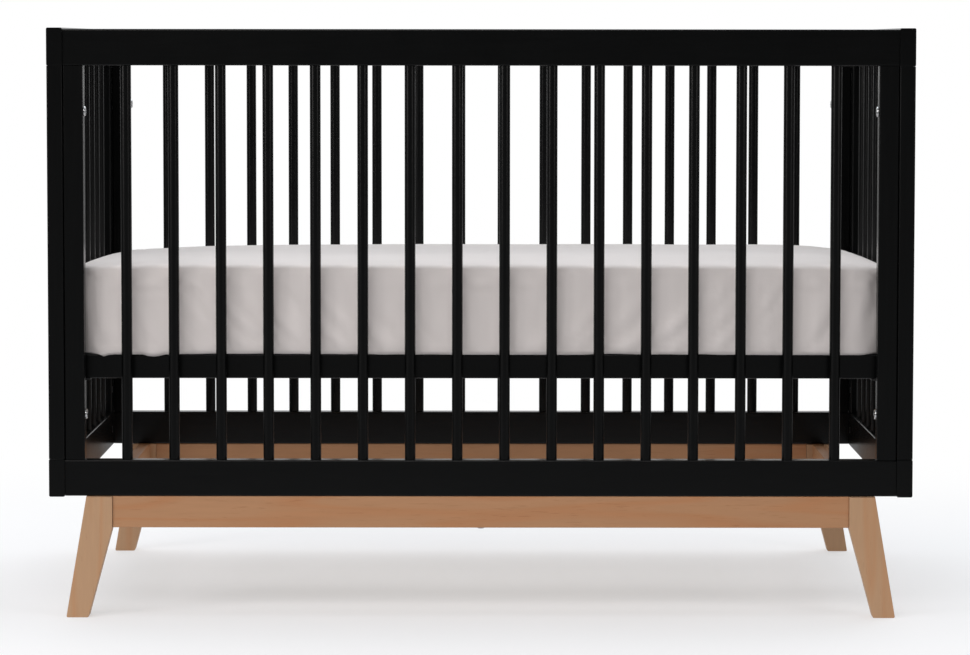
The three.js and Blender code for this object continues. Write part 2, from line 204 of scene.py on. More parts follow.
# %% [markdown]
# ## Sawn outlines
# Legs and brackets are flat outlines cut from board or bent from strip. Each corner of the
# outline is replaced by an arc, and the two faces are eased by shrinking the outline along
# a quarter circle.

# %% Outline shape
def rounded_outline(corners, radii, steps=5):
    """Points and outward normals along a closed outline with an arc at each corner.

    With unit normals m and n of the two edges at a corner P, the arc's centre is
    P - r (m + n) / (1 + m.n), and its points turn from m to n. Hollow corners turn back.
    """
    corners = np.asarray(corners, float)
    points, normals = [], []
    for i, (corner, radius) in enumerate(zip(corners, radii)):
        into = corner - corners[i - 1]
        out = corners[(i + 1) % len(corners)] - corner
        m = np.array([into[1], -into[0]]) / np.linalg.norm(into)
        n = np.array([out[1], -out[0]]) / np.linalg.norm(out)
        sweep = math.atan2(m[0] * n[1] - m[1] * n[0], m @ n)
        bulge = math.copysign(1, sweep)
        angle = math.atan2(m[1], m[0]) + sweep * np.linspace(0, 1, steps + 1)
        around = np.stack([np.cos(angle), np.sin(angle)], -1)
        centre = corner - bulge * radius * (m + n) / (1 + m @ n)
        points.append(centre + bulge * radius * around)
        normals.append(around)
    return np.concatenate(points), np.concatenate(normals)


def board_shape(corners, radii, low, high, ease, steps=4):
    """An outline in X and Z carried along Y from low to high, with eased faces.

    The inset from the outline is e (1 - sin t) while the depth is e (1 - cos t).
    """
    outline, normal = rounded_outline(corners, radii)
    turn = np.linspace(0, math.pi / 2, steps + 1)
    inset = ease * (1 - np.sin(turn))
    depth = ease * (1 - np.cos(turn))
    insets = np.concatenate([inset, inset[::-1]])
    levels = np.concatenate([low + depth, (high - depth)[::-1]])
    flat = outline[None] - insets[:, None, None] * normal[None]
    level = np.broadcast_to(levels[:, None], flat.shape[:2])
    points = np.stack([flat[..., 0], level, flat[..., 1]], -1).reshape(-1, 3)
    rows, sides = level.shape
    index = np.arange(rows * sides).reshape(rows, sides)
    after = np.roll(index, -1, axis=1)
    quads = np.stack([index[:-1], after[:-1], after[1:], index[1:]], -1).reshape(-1, 4)
    return points, quads.tolist() + [index[0, ::-1].tolist(), index[-1].tolist()]


# %% [markdown]
# ## Finishes
# A finish is a small network of nodes on the Principled shader. Patterns read Object
# coordinates, which are the crib's own metres, so grain keeps its scale on every piece.
# A Mapping node squeezes the pattern along the wood, since fibres are long and thin.

# %% Shader helpers
def finish_base(name, **sockets):
    """A new material and its Principled shader, with plain values set on its sockets."""
    material = bpy.data.materials.new(name)
    material.use_nodes = True
    shader = material.node_tree.nodes["Principled BSDF"]
    for socket, value in sockets.items():
        shader.inputs[socket.replace("_", " ")].default_value = value
    return material, shader


def node(material, kind, **values):
    """Adds a node; names that match an input set it, and the others set a property."""
    made = material.node_tree.nodes.new(kind)
    for key, value in values.items():
        if key.replace("_", " ") in made.inputs:
            made.inputs[key.replace("_", " ")].default_value = value
        else:
            setattr(made, key, value)
    return made


def grain_space(material, scale, turn=(0, 0, 0)):
    """Object coordinates, turned and then squeezed by scale along each axis."""
    place = node(material, "ShaderNodeTexCoord")
    mapping = node(material, "ShaderNodeMapping", Scale=scale, Rotation=turn)
    material.node_tree.links.new(place.outputs["Object"], mapping.inputs["Vector"])
    return mapping.outputs["Vector"]


def noise(material, space, scale, detail=3.0, roughness=0.5):
    """Fractal noise read in a grain space."""
    made = node(material, "ShaderNodeTexNoise", Scale=scale, Detail=detail, Roughness=roughness)
    material.node_tree.links.new(space, made.inputs["Vector"])
    return made.outputs["Fac"]


def ramp(material, factor, stops):
    """A colour ramp through (position, (r, g, b)) stops."""
    made = node(material, "ShaderNodeValToRGB")
    while len(made.color_ramp.elements) < len(stops):
        made.color_ramp.elements.new(0.5)
    for element, (position, colour) in zip(made.color_ramp.elements, stops):
        element.position = position
        element.color = (*colour, 1)
    material.node_tree.links.new(factor, made.inputs["Fac"])
    return made.outputs["Color"]


def spread(material, factor, low, high):
    """Maps a 0 to 1 pattern to the range low to high."""
    made = node(material, "ShaderNodeMapRange", To_Min=low, To_Max=high)
    material.node_tree.links.new(factor, made.inputs["Value"])
    return made.outputs["Result"]


def bump(material, shader, height, strength, distance, under=None):
    """Adds a bump of that height pattern, on top of another bump if one is given."""
    made = node(material, "ShaderNodeBump", Strength=strength, Distance=distance)
    links = material.node_tree.links
    links.new(height, made.inputs["Height"])
    if under is not None:
        links.new(under, made.inputs["Normal"])
    links.new(made.outputs["Normal"], shader.inputs["Normal"])
    return made.outputs["Normal"]


# %% [markdown]
# ## Black paint
# The body is sprayed with a satin black lacquer over solid wood. It is nearly black but not
# quite even: the film follows the grain a little, and has the fine ripple of a sprayed
# coat. Both are bump and roughness, and the colour hardly changes.

# %% Black paint
ALONG = {"x": (1.5, 22, 22), "y": (22, 1.5, 22), "z": (22, 22, 1.5)}


def black_paint(direction):
    """Satin black over wood whose grain runs along x, y or z."""
    material, shader = finish_base(f"black_paint_{direction}", Specular_IOR_Level=0.2)
    links = material.node_tree.links
    grain = grain_space(material, ALONG[direction])
    fibres = noise(material, grain, 9, 5, 0.6)
    colour = ramp(material, fibres,
                  [(0.3, (0.0008, 0.0010, 0.0011)), (0.75, (0.0017, 0.0019, 0.0020))])
    links.new(colour, shader.inputs["Base Color"])
    cloudy = noise(material, grain_space(material, (1, 1, 1)), 14, 2)
    links.new(spread(material, cloudy, 0.20, 0.28), shader.inputs["Roughness"])
    ripple = noise(material, grain_space(material, (1, 1, 1)), 420, 1)
    under = bump(material, shader, ripple, 0.05, 0.0004)
    bump(material, shader, fibres, 0.12, 0.0004, under)
    return material


paint = {direction: black_paint(direction) for direction in "xyz"}

# %% [markdown]
# ## Beech
# Beech is pale and yellowish brown with a quiet grain. Growth rings wander along a flat-sawn
# board as faint, warmer bands: a slow noise, folded back and forth a few times, has just
# such contours. Over them lie fine fibres from a long thin noise, and beech's own flecks,
# short darker dashes, from a third noise cut off at a threshold. The lean of a leg is a turn
# of the whole pattern. The legs are painted a little paler than the aprons: painted light
# that stands in for the extra light their faces catch.

# %% Beech
def mixed(material, factor, under, over, blend="MIX"):
    """Mixes two colours by a factor; each is a colour or another node's output."""
    made = node(material, "ShaderNodeMix", data_type="RGBA", blend_type=blend)
    for value, socket in ((factor, 0), (under, 6), (over, 7)):
        if isinstance(value, (tuple, float)):
            made.inputs[socket].default_value = value
        else:
            material.node_tree.links.new(value, made.inputs[socket])
    return made.outputs[2]


def beech(name, direction, tone, lean=0.0):
    """Clear lacquered beech whose grain runs along x, y or z, leaned about Y."""
    material, shader = finish_base(name, Specular_IOR_Level=0.35)
    links = material.node_tree.links
    squeeze = {"x": (1, 13, 13), "y": (13, 1, 13), "z": (13, 13, 1)}[direction]
    turn = (0, lean, 0)
    slow = noise(material, grain_space(material, squeeze, turn), 1.3, 2, 0.45)
    rings = node(material, "ShaderNodeMath", operation="PINGPONG")
    rings.inputs[1].default_value = 1.0
    links.new(spread(material, slow, 0.0, 11.0), rings.inputs[0])
    fibres = noise(material, grain_space(material, squeeze, turn), 16, 5, 0.6)
    light, dark = (tuple(shade * part for part in tone) + (1.0,) for shade in (1.07, 0.90))
    wood = mixed(material, fibres, dark, light)
    warm = (1.0, 0.87, 0.76, 1.0)
    folded = ramp(material, rings.outputs["Value"], [(0.55, (0, 0, 0)), (0.95, (0.75, 0.75, 0.75))])
    wood = mixed(material, folded, wood, mixed(material, 1.0, wood, warm, "MULTIPLY"))
    fine = tuple(3.2 * value for value in squeeze)
    dashes = ramp(material, noise(material, grain_space(material, fine, turn), 11, 1, 0.4),
                  [(0.67, (0, 0, 0)), (0.76, (0.6, 0.6, 0.6))])
    fleck = (0.80, 0.72, 0.66, 1.0)
    wood = mixed(material, dashes, wood, mixed(material, 1.0, wood, fleck, "MULTIPLY"))
    links.new(wood, shader.inputs["Base Color"])
    links.new(spread(material, fibres, 0.44, 0.56), shader.inputs["Roughness"])
    bump(material, shader, fibres, 0.08, 0.0004)
    return material


LEG_LEAN = math.radians(12.5)
APRON_TONE = (0.442, 0.233, 0.119)
# The legs' paler tone is painted light, standing in for the extra light on their faces.
LEG_TONE_PAINTED_LIGHTER = (0.475, 0.291, 0.168)
beech_x = beech("beech_along", "x", APRON_TONE)
beech_y = beech("beech_across", "y", APRON_TONE)
# Leg finishes in that paler tone, painted light for the light on the legs' faces.
beech_leg_painted_lighter = {"left": beech("beech_leg_left", "z", LEG_TONE_PAINTED_LIGHTER, -LEG_LEAN),
             "right": beech("beech_leg_right", "z", LEG_TONE_PAINTED_LIGHTER, LEG_LEAN)}


# %% [markdown]
# ## Metal
# The corner bolts are zinc plated, bright but slightly clouded. The height brackets are
# pressed steel with a black powder coat, which is dull and pebbled.

# %% Metals and plywood
def clouded_metal(name, colour, rough, size):
    """Plated metal whose roughness clouds a little."""
    material, shader = finish_base(name, Metallic=1.0)
    links = material.node_tree.links
    clouds = noise(material, grain_space(material, (1, 1, 1)), size, 3)
    low, high = (tuple(shade * part for part in colour) for shade in (0.88, 1.0))
    links.new(ramp(material, clouds, [(0.35, low), (0.65, high)]), shader.inputs["Base Color"])
    links.new(spread(material, clouds, rough * 0.8, rough * 1.25), shader.inputs["Roughness"])
    return material


def powder_coat():
    """Black powder coat: a fine pebble in the bump."""
    material, shader = finish_base("powder_coat", Specular_IOR_Level=0.4)
    links = material.node_tree.links
    pebble = noise(material, grain_space(material, (1, 1, 1)), 900, 2)
    colour = ramp(material, pebble, [(0.3, (0.009, 0.009, 0.010)), (0.7, (0.016, 0.016, 0.017))])
    links.new(colour, shader.inputs["Base Color"])
    links.new(spread(material, pebble, 0.45, 0.62), shader.inputs["Roughness"])
    bump(material, shader, pebble, 0.25, 0.0003)
    return material


def plywood():
    """Raw birch plywood: pale, with long faint figure across the crib."""
    material, shader = finish_base("raw_plywood", Specular_IOR_Level=0.25)
    links = material.node_tree.links
    figure = noise(material, grain_space(material, (14, 1, 14)), 6, 5, 0.6)
    stops = [(0.3, (0.50, 0.345, 0.215)), (0.55, (0.60, 0.43, 0.275)), (0.75, (0.66, 0.49, 0.33))]
    links.new(ramp(material, figure, stops), shader.inputs["Base Color"])
    links.new(spread(material, figure, 0.6, 0.75), shader.inputs["Roughness"])
    bump(material, shader, figure, 0.12, 0.0004)
    return material


zinc = clouded_metal("bright_zinc", (0.58, 0.59, 0.60), 0.14, 160)
black_oxide = clouded_metal("black_oxide", (0.045, 0.045, 0.047), 0.38, 220)
coated = powder_coat()
ply = plywood()

# %% [markdown]
# ## Rails, stiles and posts
# Each painted bar takes its corners from its node's box. A comb node is a bottom rail with
# its slats in one solid, so its bar takes only the rail's height, and the slats are made in
# the next cell. The end radius is small: two bars that meet show a hairline, not a groove.

# %% Painted bars
EDGE = 2.4 * MM
END = 0.25 * MM
HAIRLINE = 0.22 * MM
BODY = "crib_frame"
AXES = {"x": 0, "y": 1, "z": 2}


def painted_bar(name, direction, node_name, height=None):
    """A bar the size of its node, or its lowest part if height is given. Uprights meet rails."""
    low, high = (np.array(corner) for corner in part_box(node_name))
    if height is not None:
        high[2] = low[2] + height
    if direction == "z":
        low[2] -= HAIRLINE
        high[2] += HAIRLINE
    shape = rounded_bar(low, high, bar_radii(AXES[direction], EDGE, END))
    return piece(name, shape, paint[direction], BODY, [node_name])


side_rail_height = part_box("front_bottom_rail")[1].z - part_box("front_bottom_rail")[0].z
end_rail_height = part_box("left_end_top_rail")[1].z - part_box("left_end_top_rail")[0].z
painted_bar("front_bottom_rail_bar", "x", "front_bottom_rail")
painted_bar("rear_bottom_rail_bar", "x", "rear_bottom_rail_with_slats", side_rail_height)
for side in ("front", "rear"):
    painted_bar(f"{side}_top_rail_bar", "x", f"{side}_top_rail")
    for end in ("left", "right"):
        painted_bar(f"{side}_stile_{end}_bar", "z", f"{side}_stile_{end}")
for end in ("left", "right"):
    painted_bar(f"{end}_end_top_rail_bar", "y", f"{end}_end_top_rail")
    painted_bar(f"{end}_end_bottom_rail_bar", "y", f"{end}_end_bottom_rail_with_slats",
                end_rail_height)
    for side in ("front", "rear"):
        painted_bar(f"{end}_end_post_{side}_bar", "z", f"{end}_end_post_{side}")
print("rails", round(side_rail_height, 4), "and", round(end_rail_height, 4), "m high")

# %% [markdown]
# ## Slats
# The slats are turned dowels, glued into sockets in the rails, evenly spaced with equal gaps.
# A round slat shows one thin line of light down its length, which is the look of this crib.

# %% Slats
SLAT_SIDES = 40
SOCKET = 12 * MM
TIP = 0.8 * MM
SIDE_SLATS = 16
END_SLATS = 8


def even_centres(count, width, low, high):
    """Centres of count slats that leave equal gaps between low and high."""
    gap = (high - low - count * width) / (count + 1)
    return low + gap + width / 2 + np.arange(count) * (width + gap)


def slat(name, x, y, low, high, radius, node_name):
    """One dowel from low to high, its ends chamfered, standing at x and y."""
    profile = [(0, low, 0), (radius - TIP, low, 0), (radius, low + TIP, 0),
               (radius, high - TIP, 0), (radius - TIP, high, 0), (0, high, 0)]
    shape = turned(profile, SLAT_SIDES, (x, y, 0))
    return piece(name, shape, paint["z"], BODY, [node_name])


slat_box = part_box("front_slat_01")
slat_radius = (slat_box[1].x - slat_box[0].x) / 2
side_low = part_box("front_bottom_rail")[1].z - SOCKET
side_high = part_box("front_top_rail")[0].z + SOCKET
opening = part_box("front_stile_left")[1].x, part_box("front_stile_right")[0].x
for side in ("front", "rear"):
    low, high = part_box(f"{side}_top_rail")
    y = (low.y + high.y) / 2
    for number, x in enumerate(even_centres(SIDE_SLATS, 2 * slat_radius, *opening), 1):
        node_name = f"front_slat_{number:02d}" if side == "front" else "rear_bottom_rail_with_slats"
        slat(f"{side}_slat_{number:02d}_turned", x, y, side_low, side_high, slat_radius, node_name)

end_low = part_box("left_end_bottom_rail_with_slats")[0].z + end_rail_height - SOCKET
end_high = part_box("left_end_top_rail")[0].z + SOCKET
for end in ("left", "right"):
    low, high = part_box(f"{end}_end_top_rail")
    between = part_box(f"{end}_end_post_front")[1].y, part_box(f"{end}_end_post_rear")[0].y
    for number, y in enumerate(even_centres(END_SLATS, 2 * slat_radius, *between), 1):
        name = f"{end}_end_slat_{number:02d}_turned"
        slat(name, (low.x + high.x) / 2, y, end_low, end_high, slat_radius,
             f"{end}_end_bottom_rail_with_slats")
print("slat radius", round(slat_radius, 5), "showing",
      round(side_high - side_low - 2 * SOCKET, 4), "m")

# %% [markdown]
# ## Corner bolts and base bolts
# Two bolts hold each corner. Their broad heads sit on the stile's inner edge and have a
# hexagon socket for the key. The base is held from below by a bolt in the middle of each
# apron. The profile runs from the shank's tip to the bottom of the key socket.

# %% Bolts
BOLT_SIDES = 48
BOLT_CHAMFER = 0.8 * MM


def bolt_profile(shank_radius, shank, head_radius, head, key):
    """Rows from the shank's tip, at -shank, to the bottom of the socket in the head."""
    chamfer = BOLT_CHAMFER
    dome = 0.55 * head
    depth = 0.75 * head
    return [
        (0, -shank, 0), (shank_radius - chamfer, -shank, 0), (shank_radius, chamfer - shank, 0),
        (shank_radius, 0, 0), (head_radius - 0.2 * MM, 0, 0), (head_radius, 0.2 * MM, 0),
        (head_radius, head - dome, 0), (0.93 * head_radius, head - 0.4 * dome, 0),
        (0.8 * head_radius, head - 0.08 * dome, 0), (0.7 * head_radius, head, 0),
        (1.18 * key, head, 0), (1.06 * key, head - 0.15 * MM, 1),
        (1.06 * key, head - depth, 1), (0, head - depth, 0),
    ]


CORNER_HEAD = 3 * MM
CORNER_RADII = {"shank_radius": 4 * MM, "head_radius": 8 * MM, "key": 2.9 * MM}
for side in ("front", "rear"):
    for end, sign in (("left", -1), ("right", 1)):
        for level in ("lower", "upper"):
            node_name = f"corner_bolt_{side}_{end}_{level}"
            low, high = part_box(node_name)
            seat = high.x - CORNER_HEAD if sign < 0 else low.x + CORNER_HEAD
            shank = high.x - low.x - CORNER_HEAD
            profile = bolt_profile(shank=shank, head=CORNER_HEAD, **CORNER_RADII)
            centre = (seat, (low.y + high.y) / 2, (low.z + high.z) / 2)
            shape = turned(profile, BOLT_SIDES, centre, axis=0, direction=-sign)
            piece(f"{node_name}_head", shape, zinc, BODY, [node_name])

BASE_HEAD = 2 * MM
BASE_RADII = {"shank_radius": 3 * MM, "head_radius": 5.5 * MM, "key": 2 * MM}
for side in ("front", "rear"):
    low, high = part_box(f"base_bolt_{side}")
    profile = bolt_profile(shank=high.z - low.z - BASE_HEAD, head=BASE_HEAD, **BASE_RADII)
    centre = ((low.x + high.x) / 2, (low.y + high.y) / 2, low.z + BASE_HEAD)
    shape = turned(profile, BOLT_SIDES, centre, axis=2, direction=-1)
    piece(f"base_bolt_{side}_head", shape, zinc, BODY, [f"base_bolt_{side}"])


# %% [markdown]
# ## Threaded inserts
# Each end post has three black threaded inserts in its inner face, one for each height of the
# support. The support covers none of them, so the two that are not in use show as small
# rings with a dark hole.

# %% Inserts
INSERT_RADIUS = 5.5 * MM
INSERT_BORE = 3.4 * MM
INSERT_PROUD = 0.4 * MM
INSERT_DEPTH = 10 * MM
INSERT_WALL = 1 * MM
INSERT_SIDES = 32
HEIGHT_STEP = 71.5 * MM
HEIGHTS = 3
insert_profile = [
    (0, -INSERT_DEPTH, 0), (INSERT_RADIUS, -INSERT_DEPTH, 0), (INSERT_RADIUS, INSERT_PROUD / 2, 0),
    (INSERT_RADIUS - 0.4 * MM, INSERT_PROUD, 0), (INSERT_BORE + 0.6 * MM, INSERT_PROUD, 0),
    (INSERT_BORE, INSERT_PROUD - 0.5 * MM, 0), (INSERT_BORE, INSERT_WALL - INSERT_DEPTH, 0),
    (0, INSERT_WALL - INSERT_DEPTH, 0),
]
for side in ("front", "rear"):
    for end, sign in (("left", -1), ("right", 1)):
        low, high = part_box(f"support_bracket_{side}_{end}")
        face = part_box(f"{end}_end_post_{side}")[1 if sign < 0 else 0].x
        bolt_height = (low.z + high.z) / 2
        for step in range(HEIGHTS):
            centre = (face, (low.y + high.y) / 2, bolt_height - step * HEIGHT_STEP)
            shape = turned(insert_profile, INSERT_SIDES, centre, axis=0, direction=-sign)
            piece(f"insert_{side}_{end}_{step + 1}", shape, black_oxide, BODY)

# %% [markdown]
# ## The beech base
# Each leg is sawn from board: its inner edge drops straight behind the apron, then both
# edges splay out to a narrower foot. The outline's corners come from the leg's box and the
# apron's, so only the two widths and the arc radii are given here.

# %% Legs
LEG_TOP_WIDTH = 41 * MM
LEG_FOOT_WIDTH = 35 * MM
LEG_EASE = 0.9 * MM
LEG_TOP_ARC = 0.4 * MM
LEG_KINK_ARC = 14 * MM
LEG_FOOT_ARC = 2.2 * MM
for side in ("front", "rear"):
    for end, sign in (("left", -1), ("right", 1)):
        low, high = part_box(f"leg_{side}_{end}")
        inner, foot = sorted((abs(low.x), abs(high.x)))
        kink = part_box(f"apron_{side}")[0].z
        outline = [(inner, high.z), (inner, kink), (foot - LEG_FOOT_WIDTH, 0),
                   (foot, 0), (inner + LEG_TOP_WIDTH, high.z)]
        outline = [(sign * x, z) for x, z in outline][::sign]
        radii = [LEG_TOP_ARC, LEG_KINK_ARC, LEG_FOOT_ARC, LEG_FOOT_ARC, LEG_TOP_ARC][::sign]
        shape = board_shape(outline, radii, low.y, high.y, LEG_EASE)
        piece(f"leg_{side}_{end}_sawn", shape, beech_leg_painted_lighter[end], BODY, [f"leg_{side}_{end}"])

# %% Aprons
APRON_EDGE = 1.6 * MM
APRON_END = 0.3 * MM
for name, direction, finish in (("front", "x", beech_x), ("rear", "x", beech_x),
                                ("left", "y", beech_y), ("right", "y", beech_y)):
    low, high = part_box(f"apron_{name}")
    shape = rounded_bar(low, high, bar_radii(AXES[direction], APRON_EDGE, APRON_END))
    piece(f"apron_{name}_planed", shape, finish, BODY, [f"apron_{name}"])

# %% [markdown]
# ## The mattress support
# Two long rails and two end rails, painted like the body, hold a deck of plywood slats
# stapled to three battens. Angle brackets under the corners bolt to the posts.

# %% Support rails, deck and brackets
SUPPORT = "mattress_support"
SUPPORT_EDGE = 2 * MM
SUPPORT_END = 0.4 * MM
for name, direction in (("front", "x"), ("rear", "x"), ("left", "y"), ("right", "y")):
    low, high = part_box(f"support_rail_{name}")
    shape = rounded_bar(low, high, bar_radii(AXES[direction], SUPPORT_EDGE, SUPPORT_END))
    piece(f"support_rail_{name}_bar", shape, paint[direction], SUPPORT,
          [f"support_rail_{name}"])

DECK_SLATS = 12
DECK_SLAT_WIDTH = 60 * MM
DECK_SLAT_THICKNESS = 9 * MM
BATTEN_WIDTH = 28 * MM
PLY_EDGE = 1.5 * MM
PLY_END = 0.3 * MM
STAPLE_GAP = 0.1 * MM
deck_low, deck_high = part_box("support_slat_deck")
slat_under = deck_high.z - DECK_SLAT_THICKNESS
for number, x in enumerate(even_centres(DECK_SLATS, DECK_SLAT_WIDTH, deck_low.x, deck_high.x), 1):
    low = (x - DECK_SLAT_WIDTH / 2, deck_low.y, slat_under + STAPLE_GAP)
    high = (x + DECK_SLAT_WIDTH / 2, deck_high.y, deck_high.z)
    shape = rounded_bar(low, high, bar_radii(AXES["y"], PLY_EDGE, PLY_END))
    piece(f"deck_slat_{number:02d}", shape, ply, SUPPORT, ["support_slat_deck"])
batten_run = (deck_high.y - deck_low.y - BATTEN_WIDTH) / 2
for name, place in (("front", -1), ("middle", 0), ("rear", 1)):
    low = (deck_low.x, place * batten_run - BATTEN_WIDTH / 2, deck_low.z)
    high = (deck_high.x, place * batten_run + BATTEN_WIDTH / 2, slat_under)
    shape = rounded_bar(low, high, bar_radii(AXES["x"], PLY_EDGE, PLY_END))
    piece(f"deck_batten_{name}", shape, ply, SUPPORT)

# %% [markdown]
# A bracket is one strip of steel bent square, with a real radius on the bend. Its captive
# bolt has a hexagon head on a round flange, made as a turned shape with full hexness.

# %% Brackets and their bolts
STRIP = 3 * MM
BEND = 4.5 * MM
STRIP_ARC = 0.8 * MM
STRIP_EASE = 0.5 * MM
CAPTIVE_HEAD = 4 * MM
CAPTIVE_NECK = 3 * MM
CAPTIVE_FLANGE = 7 * MM
CAPTIVE_HEX = 5.6 * MM
captive_profile = [
    (0, -1 * MM, 0), (CAPTIVE_NECK, -1 * MM, 0), (CAPTIVE_NECK, 0.05 * MM, 0),
    (CAPTIVE_FLANGE, 0.05 * MM, 0), (CAPTIVE_FLANGE, 1 * MM, 0), (CAPTIVE_HEX, 1.2 * MM, 1),
    (CAPTIVE_HEX, CAPTIVE_HEAD - 0.5 * MM, 1), (CAPTIVE_HEX - 0.7 * MM, CAPTIVE_HEAD, 0),
    (0, CAPTIVE_HEAD, 0),
]
for side in ("front", "rear"):
    for end, sign in (("left", -1), ("right", 1)):
        node_name = f"support_bracket_{side}_{end}"
        low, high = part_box(node_name)
        tab, outer = sorted((abs(low.x), abs(high.x)))
        outline = [(tab, high.z), (tab, high.z - STRIP), (outer - STRIP, high.z - STRIP),
                   (outer - STRIP, low.z), (outer, low.z), (outer, high.z)]
        outline = [(sign * x, z) for x, z in outline][::sign]
        radii = [STRIP_ARC, STRIP_ARC, BEND - STRIP, STRIP_ARC, STRIP_ARC, BEND][::sign]
        shape = board_shape(outline, radii, low.y, high.y, STRIP_EASE)
        piece(f"{node_name}_bent", shape, coated, SUPPORT, [node_name])
        centre = (sign * (outer - STRIP), (low.y + high.y) / 2, (low.z + high.z) / 2)
        shape = turned(captive_profile, BOLT_SIDES, centre, axis=0, direction=-sign)
        piece(f"{node_name}_bolt", shape, zinc, SUPPORT)

# %% [markdown]
# ## The mattress and its fitted sheet
# The mattress is a foam block with rounded corners in plan, soft top and bottom edges and a
# slightly crowned top. The fitted sheet is stretched over it and held under it by an
# elastic hem. Both come from one formula that turns the surface of a plain box into the
# soft block, and the cloth solver then lets the sheet settle on the foam.

# %% Soft block
MATTRESS = "mattress"
PLAN_RADIUS = 62 * MM
CROWN = 10 * MM
EDGES_SOFT = (6 * MM, 7 * MM)


def top_shape(u, v):
    """Height of the top in metres above the block's own top, u and v being -1 to 1 over it.

    The front edge is level but for its last few centimetres, where 6 u^16 mm rounds it off.
    The rear edge sinks by 6 mm in the middle and by 2 u^2 + 2 u^8 mm more at the ends, and
    its left half by a further 6 u^2 mm, as used foam does. Between front and rear the fall
    grows with the square of the distance from the front.
    """
    fall = 6 + 2 * u ** 2 + 2 * u ** 8 + 6 * np.minimum(u, 0) ** 2
    return CROWN + (0.5 - fall * ((1 + v) / 2) ** 2 - 6 * u ** 16) * MM


def soft_block(points, half, low, high, edges):
    """Turns points on a box into a block with rounded plan corners, edges and a crown.

    In plan, a corner square becomes a quarter disc: the point's distance from the square's
    inner corner, taken as the larger of |dx| and |dy|, becomes its true distance. The two
    edges, (lower, upper), are rounded the same way in the section across the edge. The
    upper half then rises by top_shape, in proportion to its height.
    """
    p = points.copy()
    inner = np.asarray(half) - PLAN_RADIUS
    centre = np.clip(p[:, :2], -inner, inner)
    away = p[:, :2] - centre
    square = np.abs(away).max(axis=1)
    corner = (np.abs(away) > 0).all(axis=1)
    radial = np.linalg.norm(away, axis=1)
    away[corner] *= (square[corner] / radial[corner])[:, None]
    reach = np.linalg.norm(away, axis=1)
    outward = away / np.maximum(reach, 1e-9)[:, None]
    depth = PLAN_RADIUS - reach
    middle = (low + high) / 2
    drop = (high - low) / 2 - np.abs(p[:, 2] - middle)
    side = np.sign(p[:, 2] - middle)
    edge = np.where(side < 0, *edges)
    a, b = edge - depth, edge - drop
    near = (a > 0) & (b > 0)
    scale = np.maximum(a, b)[near] / np.hypot(a, b)[near]
    depth[near] = edge[near] - a[near] * scale
    drop[near] = edge[near] - b[near] * scale
    inside = reach > 0
    p[inside, :2] = centre[inside] + outward[inside] * (PLAN_RADIUS - depth[inside])[:, None]
    p[:, 2] = middle + side * ((high - low) / 2 - drop)
    u, v = (p[:, 0] / half[0]).clip(-1, 1), (p[:, 1] / half[1]).clip(-1, 1)
    upper = ((p[:, 2] - middle) / ((high - low) / 2)).clip(0, 1)
    p[:, 2] += top_shape(u, v) * upper
    return p


def even_lines(low, high, step):
    """Grid lines about step apart from low to high."""
    return np.linspace(low, high, max(2, round((high - low) / step)) + 1)


mattress_low, mattress_high = (np.array(corner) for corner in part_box("mattress"))
sheet_half = (mattress_high - mattress_low)[:2] / 2
sheet_gap = 2 * MM
core_half = sheet_half - sheet_gap
core_low = mattress_low[2] + 1.5 * MM
core_high = mattress_high[2] - CROWN - sheet_gap - 1 * MM

CORE_STEP = 16 * MM
CORE_RISE = 12 * MM
lines = [even_lines(-core_half[0], core_half[0], CORE_STEP),
         even_lines(-core_half[1], core_half[1], CORE_STEP),
         even_lines(core_low, core_high, CORE_RISE)]
core_points, core_quads = box_surface(lines)
core_points = soft_block(core_points, core_half, core_low, core_high, EDGES_SOFT)
print("mattress core", len(core_points), "points, top at", round(core_points[:, 2].max(), 4))

# %% [markdown]
# ## Cloth finishes
# Jersey is a knit: tiny rows of loops about a millimetre apart, a soft sheen at grazing
# angles and no gloss. The rows are two crossed wave patterns in the bump. The mattress
# cover underneath is a plain woven ticking.

# %% Cloth
def knit(name, light, shade, rows):
    """Cotton cloth with so many rows per metre and a gentle change of tone.

    The wave texture turns through 20 radians a metre at scale 1, so n rows need 2 pi n / 20.
    """
    material, shader = finish_base(name, Specular_IOR_Level=0.12, Sheen_Weight=0.04,
                                   Sheen_Roughness=0.5)
    links = material.node_tree.links
    space = grain_space(material, (1, 1, 1))
    tone = noise(material, space, 5, 4, 0.55)
    links.new(ramp(material, tone, [(0.3, shade), (0.7, light)]), shader.inputs["Base Color"])
    links.new(spread(material, tone, 0.82, 0.95), shader.inputs["Roughness"])
    under = bump(material, shader, noise(material, space, 60, 3), 0.10, 0.002)
    for direction in ("X", "Y", "Z"):
        wave = node(material, "ShaderNodeTexWave", bands_direction=direction,
                    Scale=math.pi * rows / 10, Distortion=0.6, Detail=1.0)
        links.new(space, wave.inputs["Vector"])
        under = bump(material, shader, wave.outputs["Fac"], 0.10, 0.0001, under)
    return material


sheet_cloth = knit("sheet_jersey", (0.78, 0.738, 0.726), (0.74, 0.698, 0.685), 800)
ticking = knit("mattress_ticking", (0.78, 0.77, 0.74), (0.72, 0.71, 0.68), 700)

core = new_object("mattress_core", core_points, core_quads.tolist())
core.data.materials.append(ticking)

# %% [markdown]
# The sheet is the same box surface, a touch larger, with its middle cut away underneath so
# that only a hem is left. Its flat cut is the top plus the two sides and the two hems each
# way, less a square at each corner.

